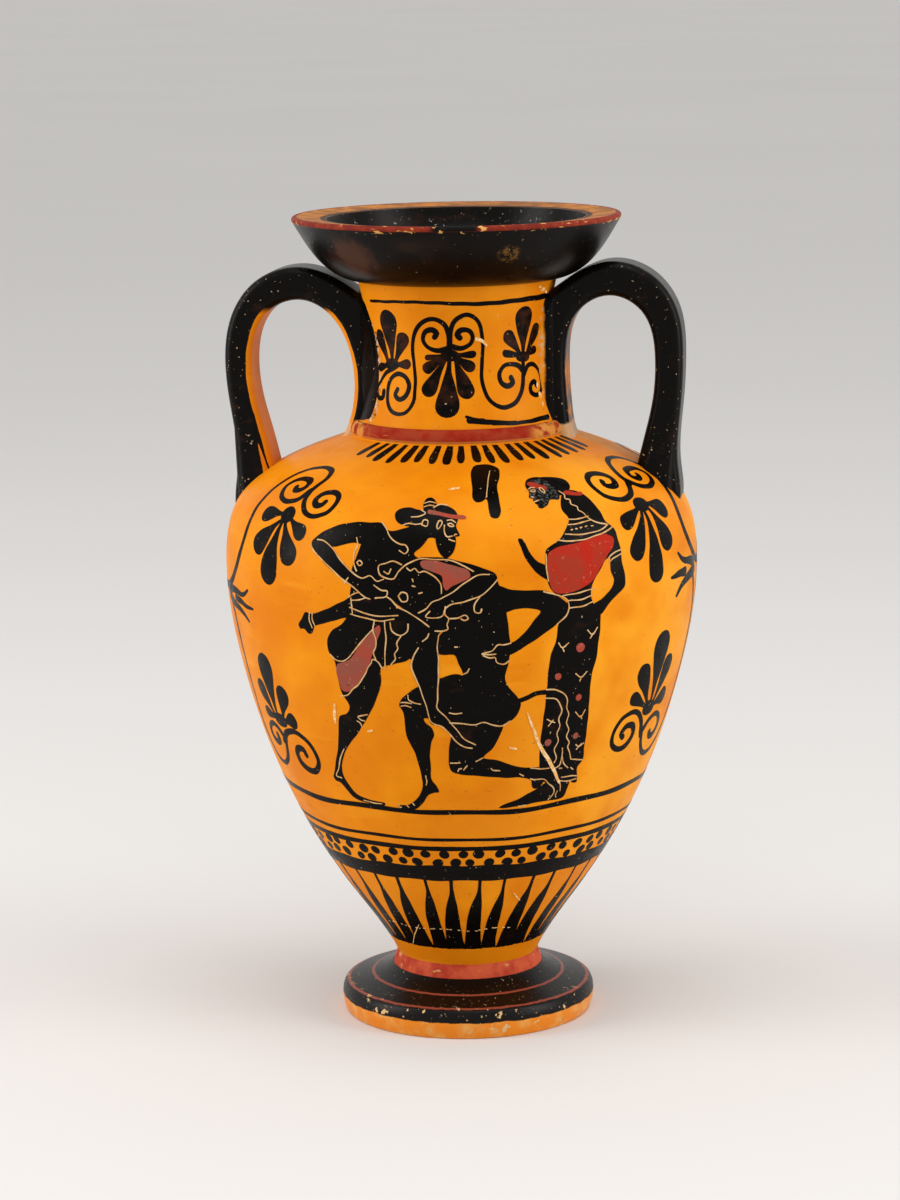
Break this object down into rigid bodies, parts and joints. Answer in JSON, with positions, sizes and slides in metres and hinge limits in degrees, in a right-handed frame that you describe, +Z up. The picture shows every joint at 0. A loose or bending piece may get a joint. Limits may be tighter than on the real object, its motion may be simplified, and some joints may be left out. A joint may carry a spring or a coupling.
{
  "type": "amphora",
  "caption": "Two-handled ceramic neck-amphora: ovoid body, flaring echinus mouth, strap handles and disc foot, painted in black figures on orange clay.",
  "frame": {"origin": "centre of the foot's resting plane, on the wheel's axis", "axes": "+Z up along the wheel's axis; the two handles lie on the X axis, left_handle at -X; -Y is the side with the main picture"},
  "size_m": [0.1662, 0.1662, 0.285],
  "materials": {
    "orange_clay": "burnished orange clay, soft sheen",
    "black_gloss": "black gloss slip, satin",
    "red_slip": "matt purple-red added colour"
  },
  "bodies": {
    "root": {"foot": "black_gloss", "foot_fillet": "red_slip", "body": "orange_clay", "neck_ring": "red_slip", "neck": "orange_clay", "mouth": "black_gloss", "left_handle": "black_gloss", "right_handle": "black_gloss", "left_handle_neck_luting": "orange_clay", "right_handle_neck_luting": "orange_clay", "left_handle_shoulder_luting": "black_gloss", "right_handle_shoulder_luting": "black_gloss"}
  },
  "joints": []
}
